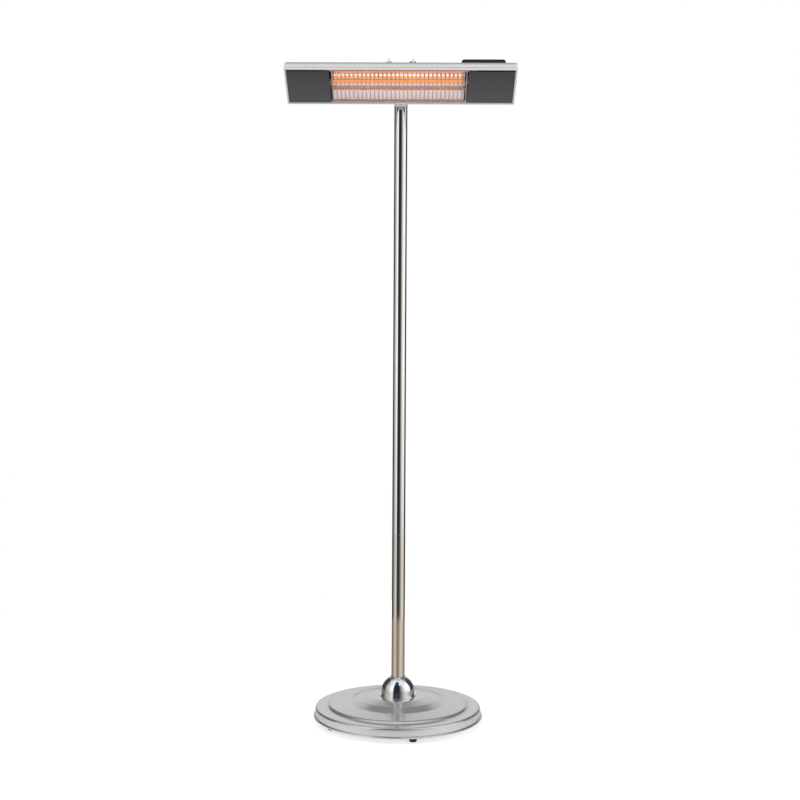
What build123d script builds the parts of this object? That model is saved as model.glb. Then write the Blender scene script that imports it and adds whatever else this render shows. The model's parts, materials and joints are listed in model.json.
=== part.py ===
from build123d import *
import os
from math import cos, radians, sin, tan

# Free-standing infrared patio heater: a weighted disc base, a pole in four lengths
# and a tilting lamp head. Millimetres, +Z up, the front looks towards -Y, and the
# origin is on the floor under the pole.

# Feet and bottom plate
foot_height = 15.0
foot_top_radius = 12.0
foot_tip_radius = 10.5
foot_edge = 2.0
foot_count = 5
foot_turn = 11.8  # degrees from straight ahead to the nearest foot
foot_inset = 28.0  # from the cover's wall to a foot's centre
stud_radius = 3.0
stud_in_foot = 9.0
stud_in_weight = 12.0
bottom_sheet = 2.0
bottom_gap = 1.0  # between the bottom plate's edge and the cover

# Base cover, a spun sheet with a rolled lip and two steps
cover_sheet = 1.5
wall_radius = 248.0
wall_height = 23.0
wall_taper = 1.4
lip_bead = 6.5
lip_overhang = 4.5
shoulder_fillet = 6.0
ring_rise = 1.0
outer_step_radius = 212.0
outer_step_run = 9.0
outer_step_rise = 7.0
outer_step_fillet = 8.0
dish_rise = 6.5
inner_step_radius = 145.0
inner_step_run = 23.0
inner_step_rise = 9.0
inner_step_fillet = 40.0
crown_radius = 80.0
crown_rise = 8.0
crown_fillet = 60.0
weight_gap = 2.5  # between the weight and the cover's walls

# Pole socket and the dome over it
socket_plate = 4.0
socket_radius = 45.0
socket_height = 60.0
socket_wall = 3.0
socket_edge = 2.5  # from a bolt head's corner to the socket's rim
socket_bolt_count = 3
dome_sheet = 1.2
dome_gap = 4.8
dome_skirt = 11.0  # from the cover up to the ball's centre
dome_draft = 7.0  # degrees that the skirt flares
dome_rim = 4.0
dome_rim_sheet = 2.0
dome_hole_gap = 1.5

# Pole
pole_radius = 20.0
pole_wall = 1.5
pole_fit = 0.05  # radial play of a spigot in the next length
pole_chamfer = 0.6
spigot_length = 60.0
neck_length = 6.0
lower_length = 477.0
lower_middle_length = 499.0
upper_middle_length = 389.0
upper_length = 501.0
plug_cap = 2.5
plug_depth = 12.0

# Tilt bracket on the pole
bracket_plate = 3.0
bracket_bend = 5.0  # outside radius of a bend
saddle_thickness = 3.0  # at its thinnest, in front of the pole
saddle_width = 26.0
saddle_edge = 10.0  # from the upper bolt to the saddle's top
pivot_reach = 31.8  # from the bracket's front to the pivot
pivot_rise = 8.7  # from the pole's top to the pivot
ear_radius = 15.0
pole_ear_height = 50.0
tongue_width = 45.0
tongue_tip_width = 28.0
tongue_taper = 10.0
tongue_drop = 117.7  # from the pivot to the tongue's lower end
tongue_bolt_edge = 7.0
bracket_bolt_spacing = 56.0

# Tilt joint
head_tilt = 59.0  # degrees that the face looks down at rest
head_ear_span = 78.0  # outside of the head's ears
head_ear_base = 50.0
washer_thickness = 0.9
washer_radius = 12.0
tilt_play = 0.1  # axial play of the head's ears
tilt_fit = 0.05  # radial play on the tilt bolts

# Lamp head, drawn upright with its pivot at the origin and its face towards -Y
head_length = 670.0
head_height = 134.0
head_depth = 50.0
head_wall = 2.0
head_corner = 34.0
pivot_standoff = 47.0  # from the housing's back to the pivot
front_lip = 6.0  # height of the rim under the face
rib_thickness = 1.2
rib_reach = 4.0
groove_play = 0.2
trim_setback = 9.0  # from the face to the trim groove
trim_width = 1.2
trim_depth = 0.8
boss_radius = 4.0
boss_inset = 3.0
boss_setback = 3.0
cap_thickness = 5.0
cap_edge = 3.0  # rounding of a cap's outer edge

# Face of the head
left_panel_length = 124.0
right_panel_length = 134.0
panel_sheet = 1.5
panel_vent = 6.5  # gap above a panel that lets warm air out
guard_sheet = 1.0
guard_overlap = 14.0  # how far the guard runs behind a panel
guard_side_border = 6.5
guard_border = 8.0
slot_width = 9.6
slot_pitch = 12.2
slot_shift = 2.2  # of the row of slots, from the head's middle to the right

# Lamp, reflector and the partitions that carry them
reflector_sheet = 0.8
reflector_gap = 7.0  # between the reflector and the housing's back
valley_height = 14.0  # from the ridge behind the lamp to the deepest folds
ridge_rise = 4.5
side_height = 27.0  # from the ridge to the folds of the steep sides
side_rise = 5.0
wing_height = 33.0  # from the ridge to the folds of the wings
wing_rise = 16.0
wing_bow = 1.9  # of a wing's middle behind a straight line
wing_bend = 120.0
reflector_bend = 4.0
partition_sheet = 1.5
partition_gap = 0.3
partition_tab = 30.0
left_partition_inset = 7.0  # from the opening's edge to the partition
right_partition_inset = 11.5
lamp_setback = 25.0
lamp_radius = 6.0
lamp_wall = 1.0
filament_radius = 1.2
sleeve_radius = 8.0
sleeve_inside = 3.0
sleeve_outside = 16.0
sleeve_bore = 10.0  # how far the lamp reaches past the partition
sleeve_collar = 11.0
collar_thickness = 4.0
ceramic_fit = 0.05
clip_sheet = 1.0
clip_width = 22.0
clip_height = 34.0
clip_gap = 0.1
lead_radius = 1.5
lead_bend = 6.0
lead_tail = 14.0  # from the left sleeve to the lead's first bend
lead_drop = 17.0  # from the head's top to the left lead
lead_setback = 32.0
lead_hole_gap = 1.5

# Control box on the housing's back
box_end_gap = 28.0  # from the head's right end to the box
box_length = 129.0
box_width = 65.0
box_height = 34.0
box_wall = 2.5
box_corner = 8.0
box_edge = 5.0
box_boss_radius = 4.5
box_boss_inset = 8.0
gasket_thickness = 1.5
gasket_width = 4.0
terminal_tail = 19.5  # from the right sleeve to the lamp's terminals
terminal_length = 22.0
terminal_width = 34.0
terminal_height = 14.0
terminal_spacing = 16.0
terminal_depth = 8.0
board_gap = 4.0  # round the board, to the box, its bosses, the terminals and the switch
board_sheet = 1.6
standoff_height = 6.0
standoff_radius = 2.5
standoff_inset = 5.0
tip_switch_size = 14.0
tip_switch_height = 11.0
gland_radius = 6.5
gland_across = 17.0
gland_flange = 5.0
gland_inside = 8.0
gland_cap_length = 14.0
gland_cap_radius = 8.0
gland_cap_mouth = 4.0
gland_wall = 2.0
gland_recess = 2.0  # from the cap's mouth to the insert
gland_locknut_height = 5.0

# Rocker switch on the box's lower side
rocker_length = 25.8
rocker_width = 11.4
rocker_angle = 10.0  # degrees each way from level
rocker_middle = 4.0  # from the pin to the dip in the middle
rocker_inside = 4.0
rocker_gap = 0.3
rocker_pin_radius = 1.5
rocker_pin_length = 1.5
rocker_fit = 0.05
switch_wall = 1.8
switch_floor = 2.0
switch_depth = 12.0
bezel_width = 2.0
bezel_height = 2.0
switch_fit = 0.1
switch_offset = 99.0  # from the box's left end to the switch's middle
switch_set = 14.0  # from the housing's back to the switch's middle

# Fasteners
m8_radius = 4.0
m8_across = 13.0
m8_head = 5.3
m8_nut = 6.5
m8_hole_gap = 0.25
m5_radius = 2.5
m5_head_radius = 4.5
m5_head = 3.0
m5_across = 8.0
m5_nut = 4.7
screw_radius = 1.6
screw_head_radius = 3.2
screw_head = 1.8
cap_screw_length = 16.0
thread_gap = 0.05
hole_gap = 0.1
bolt_tail = 1.5  # thread that stands out of a nut

# Heights of the stand
lip_radius = wall_radius + lip_overhang
weight_bottom = foot_height + bottom_sheet
lip_middle = foot_height + lip_bead / 2
ring_outer = foot_height + lip_bead + wall_height
ring_inner = ring_outer + ring_rise
dish_outer = ring_inner + outer_step_rise
dish_inner = dish_outer + dish_rise
crown_outer = dish_inner + inner_step_rise
cover_top = crown_outer + crown_rise
pole_bottom = cover_top + socket_plate
lower_joint = pole_bottom + lower_length
middle_joint = lower_joint + lower_middle_length
upper_joint = middle_joint + upper_middle_length
pole_top = upper_joint + upper_length
pole_bore = pole_radius - pole_wall
spigot_radius = pole_bore - pole_fit
foot_circle = wall_radius - foot_inset
m8_corner = m8_across / 2 / cos(radians(30))
socket_bolt_circle = socket_radius - socket_edge - m8_corner
dome_radius = socket_radius + dome_gap + dome_sheet

# Places of the tilt joint
web_back = -(pole_radius + saddle_thickness)
web_front = web_back - bracket_plate
pivot_y = web_front - pivot_reach
pivot_z = pole_top + pivot_rise
head_ear_outside = head_ear_span / 2
head_ear_inside = head_ear_outside - bracket_plate
pole_ear_outside = head_ear_inside - tilt_play - washer_thickness
pole_ear_inside = pole_ear_outside - bracket_plate
tongue_bottom = pivot_z - tongue_drop
lower_bolt = tongue_bottom + tongue_bolt_edge
upper_bolt = lower_bolt + bracket_bolt_spacing

# Places in the head
back_y = -pivot_standoff
face_y = back_y - head_depth
inside_back = back_y - head_wall
housing_end = head_length / 2 - cap_thickness
inside_height = head_height - 2 * head_wall
panel_front = face_y + head_wall
front_rib = panel_front + panel_sheet + groove_play
guard_front = front_rib + rib_thickness
rear_rib = guard_front + guard_sheet + groove_play
reflector_front = rear_rib + rib_thickness
left_edge = housing_end - left_panel_length  # of the opening, left of the middle
right_edge = housing_end - right_panel_length
left_partition = left_partition_inset - left_edge
right_partition = right_edge - right_partition_inset
boss_y = inside_back - boss_inset
boss_z = head_height / 2 - head_corner - boss_setback
lamp_y = face_y + lamp_setback
lead_y = face_y + lead_setback
lead_height = head_height / 2 - lead_drop
lamp_reach = partition_sheet + sleeve_bore
box_front = back_y + gasket_thickness
box_back = back_y + box_height
box_left = head_length / 2 - box_end_gap - box_length
box_middle = box_left + box_length / 2
terminal_x = right_partition + partition_sheet + sleeve_outside + terminal_tail
switch_x = box_left + switch_offset
switch_y = back_y + switch_set
switch_z = -box_width / 2
gland_y = (box_front + box_back - box_wall) / 2
board_left = terminal_x + terminal_length / 2 + board_gap
board_right = box_left + box_length - box_boss_inset - box_boss_radius - board_gap
board_top = box_width / 2 - box_wall - board_gap
board_low = switch_z + switch_depth + board_gap
board_length = board_right - board_left
board_width = board_top - board_low

standing = (Align.CENTER, Align.CENTER, Align.MIN)


# Helpers


def save(node, *pieces):
    """Write one sub-part, a single piece or a group of separate ones."""
    shape = pieces[0] if len(pieces) == 1 else Compound(children=list(pieces))
    export_step(shape, f"parts/{node}.step")


def aim(shape, point, direction):
    """Stand a piece that is drawn along +Z at a point, along X, Y or Z."""
    across = (0, 1, 0) if direction[0] else (1, 0, 0)
    return Plane(origin=point, x_dir=across, z_dir=direction) * shape


def on_head(shape):
    """Take a piece from the upright head to the tilted one."""
    return Pos(0, pivot_y, pivot_z) * Rot(head_tilt, 0, 0) * shape


def rod(radius, length):
    """A cylinder that stands on the origin."""
    return Cylinder(radius, length, align=standing)


def slab(outline, front, thickness):
    """A plate with its outline in X and Z, from its front backwards."""
    return extrude(Plane.XZ.offset(-front) * outline, -thickness)


def bar(section, start, end):
    """A section in Y and Z, drawn out along X from start to end."""
    return extrude(Plane.YZ.offset(start) * section, end - start)


def hexagon(across, height):
    """A hexagonal prism that stands on the origin."""
    return extrude(RegularPolygon(across / 2, 6, major_radius=False), height)


def bolt(radius, head, length):
    """A head on the origin, with its shank below."""
    return head + Pos(0, 0, -length) * rod(radius, length)


def nut(radius, across, height):
    """A nut that stands on the origin."""
    return hexagon(across, height) - rod(radius + thread_gap, height)


def pan_head(radius, height):
    """A round screw head with a softened rim."""
    head = rod(radius, height)
    return fillet(head.edges().sort_by(Axis.Z)[-1], height / 2)


# Base


def base_solid(inset, drop, bottom):
    """The base's stepped outline, turned round the pole's axis."""
    corners = [
        (crown_radius, cover_top),
        (inner_step_radius - inner_step_run, crown_outer),
        (inner_step_radius, dish_inner),
        (outer_step_radius - outer_step_run, dish_outer),
        (outer_step_radius, ring_inner),
        (wall_radius - wall_taper, ring_outer),
    ]
    start = (0, cover_top - drop)
    end = (wall_radius - inset, bottom)
    rounded = [(radius - inset, height - drop) for radius, height in corners]
    fillets = [
        crown_fillet,
        inner_step_fillet,
        inner_step_fillet,
        outer_step_fillet,
        outer_step_fillet,
        shoulder_fillet,
    ]
    top = FilletPolyline(start, *rounded, end, radius=fillets)
    closing = Polyline(end, (0, bottom), start)
    outline = make_face([*top.edges(), *closing.edges()])
    return revolve(Plane.XZ * outline, Axis.Z)


def feet_places():
    """Where the feet stand, on one circle."""
    return PolarLocations(foot_circle, foot_count, start_angle=foot_turn - 90)


def socket_bolt_places():
    """Where the socket's bolts pass through the base."""
    return PolarLocations(socket_bolt_circle, socket_bolt_count, start_angle=90)


def bolt_holes(bottom, top):
    """Clearance for the socket's bolts between two heights."""
    hole = Pos(0, 0, bottom) * rod(m8_radius + m8_hole_gap, top - bottom)
    return [place * hole for place in socket_bolt_places()]


def stud_holes(bottom, top):
    """Holes for the studs of the feet between two heights."""
    hole = Pos(0, 0, bottom) * rod(stud_radius + thread_gap, top - bottom)
    return [place * hole for place in feet_places()]


def rubber_feet():
    """Tapered feet, each with a blind hole for its stud."""
    foot = Cone(foot_tip_radius, foot_top_radius, foot_height, align=standing)
    foot = fillet(foot.edges().group_by(Axis.Z)[0], foot_edge)
    blind = Pos(0, 0, foot_height - stud_in_foot) * rod(stud_radius + thread_gap, stud_in_foot)
    return [place * (foot - blind) for place in feet_places()]


def foot_studs():
    """Threaded studs from the feet through the bottom plate into the weight."""
    length = stud_in_foot + bottom_sheet + stud_in_weight
    stud = Pos(0, 0, foot_height - stud_in_foot) * rod(stud_radius, length)
    return [place * stud for place in feet_places()]


def base_plate():
    """Round bottom plate that carries the weight."""
    plate = Pos(0, 0, foot_height) * rod(wall_radius - cover_sheet - bottom_gap, bottom_sheet)
    plate -= bolt_holes(foot_height, weight_bottom)
    return plate - stud_holes(foot_height, weight_bottom)


def base_weight():
    """Cast ballast that follows the cover from inside and holds it up."""
    weight = base_solid(cover_sheet + weight_gap, cover_sheet, weight_bottom)
    weight -= bolt_holes(weight_bottom, cover_top)
    return weight - stud_holes(weight_bottom, weight_bottom + stud_in_weight)


def base_cover():
    """Spun cover: the stepped outline as a shell, with a rolled lip."""
    solid = base_solid(0, 0, lip_middle)
    floor = solid.faces().sort_by(Axis.Z)[0]
    shell = offset(solid, amount=-cover_sheet, openings=floor)
    lip = Pos(0, 0, lip_middle) * Torus(lip_radius - lip_bead / 2, lip_bead / 2)
    return shell + lip - bolt_holes(cover_top - 2 * cover_sheet, cover_top + cover_sheet)


def pole_socket():
    """Flange with the stub that the pole stands on."""
    flange = Pos(0, 0, cover_top) * rod(socket_radius, socket_plate)
    stub = Pos(0, 0, cover_top) * rod(spigot_radius, socket_plate + socket_height)
    bore = Pos(0, 0, cover_top) * rod(spigot_radius - socket_wall, socket_plate + socket_height)
    return flange + stub - bore - bolt_holes(cover_top, pole_bottom)


def socket_bolts():
    """Long bolts from the socket down through the bottom plate."""
    length = pole_bottom - foot_height + m8_nut + bolt_tail
    piece = Pos(0, 0, pole_bottom) * bolt(m8_radius, hexagon(m8_across, m8_head), length)
    return [place * piece for place in socket_bolt_places()]


def socket_nuts():
    """Nuts of the long bolts, under the bottom plate."""
    piece = Pos(0, 0, foot_height - m8_nut) * nut(m8_radius, m8_across, m8_nut)
    return [place * piece for place in socket_bolt_places()]


def half_ball(radius):
    """A ball's upper part that runs out into a flared skirt of this radius."""
    draft = radians(dome_draft)
    ball = (radius - dome_skirt * tan(draft)) * cos(draft)
    skirt = (ball * cos(draft), dome_skirt + ball * sin(draft))
    side = Polyline((0, dome_skirt + ball), (0, 0), (radius, 0), skirt)
    crown = CenterArc((0, dome_skirt), ball, dome_draft, 90 - dome_draft)
    return revolve(Plane.XZ * make_face(side + crown), Axis.Z)


def base_dome():
    """Polished half ball with a flat rim, open at its top for the pole."""
    rim = rod(dome_radius + dome_rim, dome_rim_sheet)
    outside = half_ball(dome_radius)
    inside = half_ball(dome_radius - dome_sheet)
    hole = rod(pole_radius + dome_hole_gap, dome_skirt + dome_radius)
    return Pos(0, 0, cover_top) * (rim + outside - inside - hole)


# Pole


def pole_length(bottom, length):
    """A tube with a swaged spigot on top, which the next length slides over."""
    top = bottom + length
    edge = pole_radius - pole_chamfer
    neck = spigot_radius - pole_wall
    outline = Polyline(
        (pole_bore, bottom),
        (edge, bottom),
        (pole_radius, bottom + pole_chamfer),
        (pole_radius, top - pole_chamfer),
        (edge, top),
        (spigot_radius, top),
        (spigot_radius, top + spigot_length),
        (neck, top + spigot_length),
        (neck, top),
        (pole_bore, top - neck_length),
        close=True,
    )
    return revolve(Plane.XZ * make_face(outline), Axis.Z)


def bracket_bolt_holes(radius):
    """Holes for the bracket's bolts, right through the pole."""
    length = 2 * (pole_radius - web_front)
    hole = Cylinder(radius, length)
    return [aim(hole, (0, 0, height), (0, 1, 0)) for height in (lower_bolt, upper_bolt)]


def pole_upper():
    """The top length: a plain tube, drilled for the tilt bracket."""
    tube = rod(pole_radius, upper_length) - rod(pole_bore, upper_length)
    rims = tube.edges().filter_by(GeomType.CIRCLE).filter_by(lambda rim: rim.radius == pole_radius)
    tube = chamfer(rims, pole_chamfer)
    return Pos(0, 0, upper_joint) * tube - bracket_bolt_holes(m5_radius + hole_gap)


def pole_plug():
    """Cap that closes the pole's top."""
    cap = Pos(0, 0, pole_top) * pan_head(pole_radius, plug_cap)
    return cap + Pos(0, 0, pole_top - plug_depth) * rod(spigot_radius, plug_depth)


# Tilt bracket and joint


def ear_outline(centre, wall, low, high):
    """Side view of an ear: a round end at the pivot, blended into a straight wall."""
    tip = Pos(*centre) * Circle(ear_radius)
    foot = Line((wall, low), (wall, high))
    return make_hull([*tip.edges(), foot])


def channel(outside, inside, wall, web, tip):
    """Plan of a bent bracket: a web along X with two ears that run to their tips."""
    towards = 1 if tip > wall else -1
    outline = Polyline((outside, tip), (outside, wall), (-outside, wall), (-outside, tip), close=True)
    hollow = Polyline((inside, tip), (inside, web), (-inside, web), (-inside, tip), close=True)
    outer = make_face(outline)
    outer = fillet(outer.vertices().group_by(Axis.Y)[0 if towards > 0 else -1], bracket_bend)
    inner = make_face(hollow)
    inner_bend = bracket_bend - bracket_plate
    inner = fillet(inner.vertices().group_by(Axis.Y)[0 if towards > 0 else -1], inner_bend)
    return outer - inner


def pole_bracket():
    """Bent bracket on the pole: two ears for the tilt bolts and a tongue below."""
    low = pivot_z - pole_ear_height
    plan = channel(pole_ear_outside, pole_ear_inside, web_back, web_front, pivot_y - ear_radius)
    bent = Pos(0, 0, low) * extrude(plan, pole_ear_height + ear_radius)
    side = ear_outline((pivot_y, pivot_z), web_back, low, pivot_z)
    ears = bent & bar(side, -pole_ear_outside, pole_ear_outside)
    tongue = Polyline(
        (tongue_width / 2, low + bracket_bend),
        (tongue_width / 2, tongue_bottom + tongue_taper),
        (tongue_tip_width / 2, tongue_bottom),
        (-tongue_tip_width / 2, tongue_bottom),
        (-tongue_width / 2, tongue_bottom + tongue_taper),
        (-tongue_width / 2, low + bracket_bend),
        close=True,
    )
    bracket = ears + slab(make_face(tongue), web_front, bracket_plate)
    pivot_hole = Cylinder(m8_radius + thread_gap, head_ear_span)
    bracket -= aim(pivot_hole, (0, pivot_y, pivot_z), (1, 0, 0))
    return bracket - bracket_bolt_holes(m5_radius + hole_gap)


def pole_saddle():
    """Spacer that is flat on the bracket and hollowed to the pole."""
    height = upper_bolt + saddle_edge - tongue_bottom
    block = Pos(0, web_back / 2, tongue_bottom) * Box(saddle_width, -web_back, height, align=standing)
    block -= Pos(0, 0, tongue_bottom) * rod(pole_radius, height)
    return block - bracket_bolt_holes(m5_radius + hole_gap)


def bracket_bolts():
    """Bolts that clamp bracket, saddle and pole together."""
    length = -web_front + pole_radius + m5_nut + bolt_tail
    piece = bolt(m5_radius, pan_head(m5_head_radius, m5_head), length)
    return [aim(piece, (0, web_front, height), (0, -1, 0)) for height in (lower_bolt, upper_bolt)]


def bracket_nuts():
    """Nuts behind the pole."""
    piece = nut(m5_radius, m5_across, m5_nut)
    return [aim(piece, (0, pole_radius, height), (0, 1, 0)) for height in (lower_bolt, upper_bolt)]


def at_pivot(piece, distance):
    """A piece drawn along +Z, put on both ends of the tilt axis, facing outwards."""
    return [aim(piece, (side * distance, pivot_y, pivot_z), (side, 0, 0)) for side in (-1, 1)]


def tilt_bolts():
    """The pins that the head tilts on."""
    grip = head_ear_outside + tilt_play - pole_ear_inside
    piece = bolt(m8_radius, hexagon(m8_across, m8_head), grip + m8_nut + bolt_tail)
    return at_pivot(piece, head_ear_outside + tilt_play)


def tilt_washers():
    """Friction washers between the ears."""
    piece = rod(washer_radius, washer_thickness) - rod(m8_radius + thread_gap, washer_thickness)
    return at_pivot(piece, pole_ear_outside)


def tilt_nuts():
    """Nuts inside the bracket's ears."""
    return at_pivot(nut(m8_radius, m8_across, m8_nut), pole_ear_inside - m8_nut)


# Head housing


def head_outline(inset):
    """The head's section in Y and Z: straight in front, round at the back."""
    depth = head_depth - 2 * inset
    outline = Pos(face_y + head_depth / 2, 0) * Rectangle(depth, head_height - 2 * inset)
    return fillet(outline.vertices().group_by(Axis.X)[-1], head_corner - inset)


def mirrored(height):
    """The same height above and below the middle."""
    return (height, -height)


def back_holes(places, radius):
    """Holes through the housing's back at places given as x and z."""
    hole = Pos(0, 0, -head_wall) * rod(radius, 2 * head_wall)
    return [aim(hole, (x, back_y - head_wall / 2, z), (0, 1, 0)) for x, z in places]


def head_screw_places():
    """Where the head's bracket is screwed to the housing."""
    across = head_ear_inside - 2 * bracket_bend
    up = head_ear_base / 2 - 2 * bracket_bend
    return [(x, z) for x in mirrored(across) for z in mirrored(up)]


def box_screw_places():
    """Where the control box is screwed to the housing."""
    across = box_length / 2 - box_boss_inset
    up = box_width / 2 - box_boss_inset
    return [(box_middle + x, z) for x in mirrored(across) for z in mirrored(up)]


def terminal_places():
    """Where the lamp's two leads enter the control box."""
    return [(terminal_x, terminal_spacing), (terminal_x, 0)]


def head_housing():
    """Extruded housing with grooves for the panels and the guard."""
    section = head_outline(0) - head_outline(head_wall)
    opening = head_height - front_lip - head_wall
    section -= Pos(face_y + head_wall / 2, (front_lip - head_wall) / 2) * Rectangle(head_wall, opening)
    for middle in mirrored((inside_height - rib_reach) / 2):
        for front in (front_rib, rear_rib):
            section += Pos(front + rib_thickness / 2, middle) * Rectangle(rib_thickness, rib_reach)
    for height in mirrored(boss_z):
        section += Pos(boss_y, height) * Circle(boss_radius)
    for height in mirrored(boss_z):
        section -= Pos(boss_y, height) * Circle(screw_radius + thread_gap)
    for height in mirrored(head_height / 2):
        section -= Pos(face_y + trim_setback, height) * Rectangle(trim_width, 2 * trim_depth)
    housing = bar(section, -housing_end, housing_end)
    housing -= back_holes(head_screw_places() + box_screw_places(), screw_radius + thread_gap)
    return housing - back_holes(terminal_places(), lead_radius + lead_hole_gap)


def cap_screw(gap):
    """A countersunk screw with its head on the origin, or its hole with a gap."""
    head = Pos(0, 0, -screw_head) * Cone(
        screw_radius + gap, screw_head_radius + gap, screw_head, align=standing
    )
    return head + Pos(0, 0, -cap_screw_length) * rod(screw_radius + gap, cap_screw_length)


def on_caps(piece, side):
    """A piece at both screw places of one end cap."""
    places = [(side * head_length / 2, boss_y, height) for height in mirrored(boss_z)]
    return [aim(piece, place, (side, 0, 0)) for place in places]


def end_cap(side):
    """Cap that closes one end of the housing, rounded outside except along the face."""
    inner = side * housing_end
    outer = side * head_length / 2
    cap = bar(head_outline(0), min(inner, outer), max(inner, outer))
    outside = cap.faces().sort_by(Axis.X, reverse=side > 0)[0]
    rim = outside.edges().sort_by(Axis.Y)[1:]
    return fillet(rim, cap_edge) - on_caps(cap_screw(hole_gap), side)


def end_cap_screws():
    """Countersunk screws in the housing's bosses."""
    return on_caps(cap_screw(0), -1) + on_caps(cap_screw(0), 1)


# Face of the head


def face_plate(left, right, front, thickness, vent=0):
    """A plate that slides in the housing's grooves, between two places in X, or stops short of the top."""
    height = inside_height - 2 * groove_play - vent
    outline = Pos((left + right) / 2, -vent / 2) * Rectangle(right - left, height)
    return slab(outline, front, thickness)


def lamp_guard():
    """Sheet guard with a row of upright slots."""
    half_length = max(left_edge, right_edge) + guard_overlap
    plate = face_plate(-half_length, half_length, guard_front, guard_sheet)
    count = int((2 * half_length - 2 * guard_side_border) / slot_pitch)
    slot_length = inside_height - 2 * groove_play - 2 * guard_border
    slot = Rot(0, 0, 90) * SlotOverall(slot_length, slot_width)
    slots = Sketch() + [place * slot for place in GridLocations(slot_pitch, 1, count, 1)]
    return plate - slab(Pos(slot_shift, 0) * slots, guard_front, guard_sheet)


# Lamp and reflector


def reflector():
    """Folded sheet: a ridge behind the lamp, steep sides, bowed wings and a flange along each edge."""
    valley = inside_back - reflector_gap - reflector_sheet / 2
    fold = valley - wing_rise
    flange = reflector_front + reflector_sheet / 2
    edge = inside_height / 2 - rib_reach
    upper = [
        (valley, valley_height),
        (valley - side_rise, side_height),
        (fold, wing_height),
        ((fold + flange) / 2 + wing_bow, (wing_height + edge) / 2),
        (flange, edge),
        (flange, inside_height / 2 - partition_gap),
    ]
    lower = [(depth, -height) for depth, height in reversed(upper)]
    bends = [reflector_bend, wing_bend, reflector_bend, reflector_bend, reflector_bend]
    bends = [*bends, reflector_bend, *reversed(bends)]
    line = FilletPolyline(*lower, (valley - ridge_rise, 0), *upper, radius=bends)
    return bar(trace(line, reflector_sheet), left_partition, right_partition)


def partition(inner, side):
    """Sheet wall at one end of the reflector, with holes for the lamp and a lead."""
    outline = head_outline(head_wall + partition_gap)
    behind = Pos(reflector_front + head_depth / 2, 0) * Rectangle(head_depth, head_height)
    outline = outline & behind
    tab = head_wall + 2 * partition_gap
    outline += Pos(inside_back - tab / 2, 0) * Rectangle(tab, partition_tab)
    for height in mirrored(boss_z):
        outline -= Pos(boss_y, height) * Circle(boss_radius + partition_gap)
    outline -= Pos(lamp_y, 0) * Circle(sleeve_radius + ceramic_fit)
    outline -= Pos(lead_y, lead_height) * Circle(lead_radius + lead_hole_gap)
    outer = inner + side * partition_sheet
    return bar(outline, min(inner, outer), max(inner, outer))


def at_lamp_ends(piece):
    """A piece drawn along +Z, put on the outer faces of both partitions."""
    left = aim(piece, (left_partition - partition_sheet, lamp_y, 0), (-1, 0, 0))
    right = aim(piece, (right_partition + partition_sheet, lamp_y, 0), (1, 0, 0))
    return [left, right]


def lamp_tube():
    """Quartz tube from sleeve to sleeve."""
    section = Pos(lamp_y, 0) * (Circle(lamp_radius) - Circle(lamp_radius - lamp_wall))
    return bar(section, left_partition - lamp_reach, right_partition + lamp_reach)


def lamp_filament():
    """Heating element along the tube's axis."""
    section = Pos(lamp_y, 0) * Circle(filament_radius)
    return bar(section, left_partition - lamp_reach, right_partition + lamp_reach)


def lamp_sleeves():
    """Ceramic sleeves that hold the tube's ends in the partitions."""
    inside = partition_sheet + sleeve_inside
    body = Pos(0, 0, -inside) * rod(sleeve_radius, inside + sleeve_outside)
    body += rod(sleeve_collar, collar_thickness)
    body -= Pos(0, 0, -inside) * rod(lamp_radius + ceramic_fit, inside + sleeve_bore)
    body -= rod(lead_radius + ceramic_fit, sleeve_outside)
    return at_lamp_ends(body)


def lamp_clips():
    """Spring clips that press the sleeves' collars on the partitions."""
    plate = Rectangle(clip_width, clip_height) - Circle(sleeve_radius + clip_gap)
    clip = Pos(0, 0, collar_thickness) * extrude(plate, clip_sheet)
    for middle in mirrored((clip_height - clip_sheet) / 2):
        leg = Box(clip_width, clip_sheet, collar_thickness + clip_sheet, align=standing)
        clip += Pos(0, middle, 0) * leg
    return at_lamp_ends(clip)


def wire(points):
    """A round lead along straight runs with rounded bends."""
    path = FilletPolyline(*points, radius=lead_bend)
    start = Plane(origin=path @ 0, z_dir=path % 0)
    return sweep(start * Circle(lead_radius), path=path)


def lamp_leads():
    """Leads from the lamp's ends to the terminals in the control box."""
    left_end = left_partition - lamp_reach
    left_turn = left_partition - partition_sheet - sleeve_outside - lead_tail
    right_end = right_partition + lamp_reach
    (left_x, left_z), (right_x, right_z) = terminal_places()
    depth = back_y + terminal_depth
    left = wire(
        [
            (left_end, lamp_y, 0),
            (left_turn, lamp_y, 0),
            (left_turn, lead_y, lead_height),
            (left_x, lead_y, lead_height),
            (left_x, lead_y, left_z),
            (left_x, depth, left_z),
        ]
    )
    right = wire([(right_end, lamp_y, 0), (right_x, lamp_y, right_z), (right_x, depth, right_z)])
    return [left, right]


# Bracket on the head


def head_bracket():
    """Bent bracket on the housing's back: two ears that carry the head."""
    plan = channel(head_ear_outside, head_ear_inside, back_y, back_y + bracket_plate, ear_radius)
    height = max(head_ear_base, 2 * ear_radius)
    bent = Pos(0, 0, -height / 2) * extrude(plan, height)
    side = ear_outline((0, 0), back_y, -head_ear_base / 2, head_ear_base / 2)
    bracket = bent & bar(side, -head_ear_outside, head_ear_outside)
    bracket -= Rot(0, 90, 0) * Cylinder(m8_radius + tilt_fit, 2 * head_ear_span)
    return bracket - head_screws(hole_gap)


def head_screws(gap):
    """The bracket's screws, or their holes with a gap."""
    head = pan_head(screw_head_radius, screw_head)
    piece = bolt(screw_radius + gap, head, bracket_plate + head_wall)
    places = [(x, back_y + bracket_plate, z) for x, z in head_screw_places()]
    return [aim(piece, place, (0, 1, 0)) for place in places]


# Control box


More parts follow.
